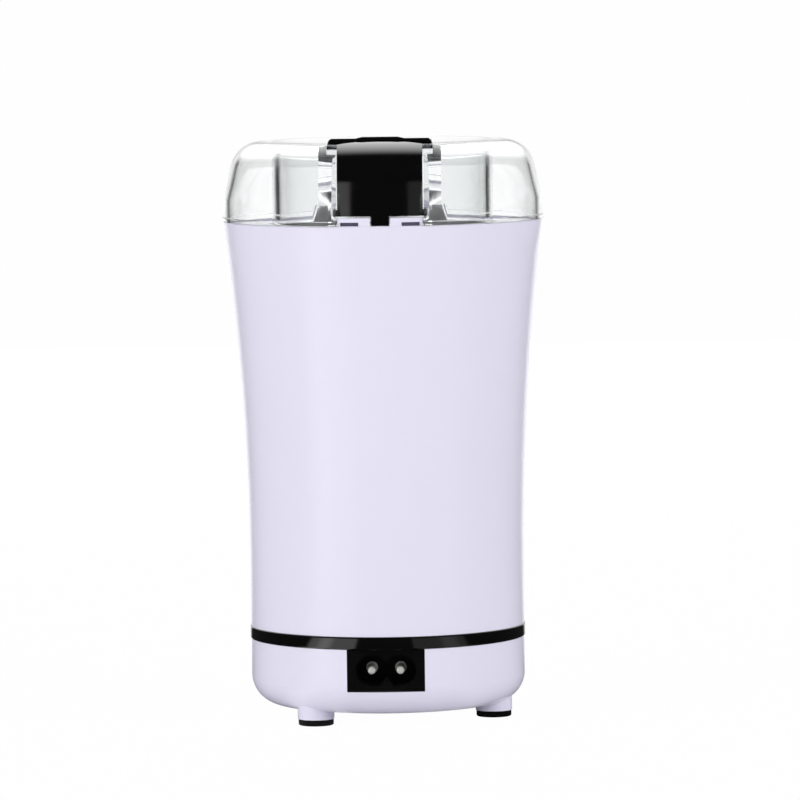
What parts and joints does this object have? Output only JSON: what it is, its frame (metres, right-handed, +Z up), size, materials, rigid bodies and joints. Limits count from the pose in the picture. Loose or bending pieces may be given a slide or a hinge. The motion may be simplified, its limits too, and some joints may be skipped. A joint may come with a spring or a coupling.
{
  "type": "electric coffee grinder",
  "caption": "Electric coffee grinder: clear domed lid with a side press button, waisted pale body, dark trim band, small power inlet, steel bowl with blade and a motor inside.",
  "frame": {"origin": "middle of the resting plane below the base, on the motor's axis", "axes": "+Z up along the motor's axis, the power inlet and the press button face -Y"},
  "size_m": [0.0972, 0.0968, 0.177],
  "materials": {
    "shell_plastic": "smooth moulded gloss",
    "clear_plastic": "clear polished",
    "black_gloss": "gloss black",
    "inlet_black": "satin black",
    "foot_rubber": "matte",
    "pin_metal": "plated",
    "steel": "brushed",
    "screw_steel": "zinc plated",
    "seal_rubber": "matte",
    "motor_plate_plastic": "moulded",
    "bracket_metal": "die cast",
    "bearing_bronze": "sintered",
    "lamination": "stacked sheet",
    "copper": "enamelled copper",
    "fan_plastic": "moulded",
    "holder_brass": "stamped",
    "carbon": "pressed carbon",
    "switch_plastic": "moulded",
    "plunger_plastic": "moulded",
    "wire_brown": "insulation",
    "wire_blue": "insulation"
  },
  "bodies": {
    "housing": {"base_cup": "shell_plastic", "base_screw_1": "screw_steel", "base_screw_2": "screw_steel", "base_screw_3": "screw_steel", "body_shell": "shell_plastic", "bowl_gasket": "seal_rubber", "bowl_screw_1": "screw_steel", "bowl_screw_2": "screw_steel", "bowl_screw_3": "screw_steel", "brush_holder_back": "holder_brass", "brush_holder_front": "holder_brass", "brush_spring_back": "steel", "brush_spring_front": "steel", "carbon_brush_back": "carbon", "carbon_brush_front": "carbon", "field_coil_left": "copper", "field_coil_right": "copper", "foot_pad_1": "foot_rubber", "foot_pad_2": "foot_rubber", "foot_pad_3": "foot_rubber", "grinding_bowl": "steel", "inlet_pin_left": "pin_metal", "inlet_pin_right": "pin_metal", "inlet_socket": "inlet_black", "lower_bearing": "bearing_bronze", "lower_bracket": "bracket_metal", "motor_bolt_1": "screw_steel", "motor_bolt_2": "screw_steel", "motor_bolt_3": "screw_steel", "motor_bolt_4": "screw_steel", "motor_plate": "motor_plate_plastic", "plate_screw_1": "screw_steel", "plate_screw_2": "screw_steel", "plate_screw_3": "screw_steel", "shaft_seal": "seal_rubber", "stator_stack": "lamination", "switch_case": "switch_plastic", "switch_terminal_left": "holder_brass", "switch_terminal_right": "holder_brass", "top_deck": "shell_plastic", "trim_band": "black_gloss", "upper_bearing": "bearing_bronze", "upper_bracket": "bracket_metal", "wire_live": "wire_brown", "wire_neutral": "wire_blue", "wire_switched": "wire_brown"},
    "rotor": {"motor_shaft": "steel", "armature_core": "lamination", "armature_winding": "copper", "commutator": "copper", "cooling_fan": "fan_plastic", "blade_collar": "steel", "blade": "steel", "blade_nut": "steel"},
    "lid": {"lid_shell": "clear_plastic", "button_spring": "steel"},
    "button": {"press_button": "black_gloss"},
    "plunger": {"switch_plunger": "plunger_plastic", "switch_stem": "plunger_plastic"}
  },
  "joints": [
    {"name": "rotor_spin", "type": "hinge", "parent": "housing", "child": "rotor", "pos_m": [0, 0, 0], "axis": [0, 0, 1], "continuous": true},
    {"name": "lid_lift", "type": "slide", "parent": "housing", "child": "lid", "axis": [0, 0, 1], "range_m": [0, 0.06]},
    {"name": "button_press", "type": "slide", "parent": "lid", "child": "button", "axis": [0, 0, -1], "range_m": [0, 0.0025], "stiffness_N_per_m": 1200, "springref_m": -0.003, "deforming": ["button_spring"]},
    {"name": "plunger_press", "type": "slide", "parent": "housing", "child": "plunger", "axis": [0, 0, -1], "range_m": [0, 0.0025]}
  ],
  "couplings": [
    {"joint": "plunger_press", "follows": "button_press", "ratio": 1}
  ]
}
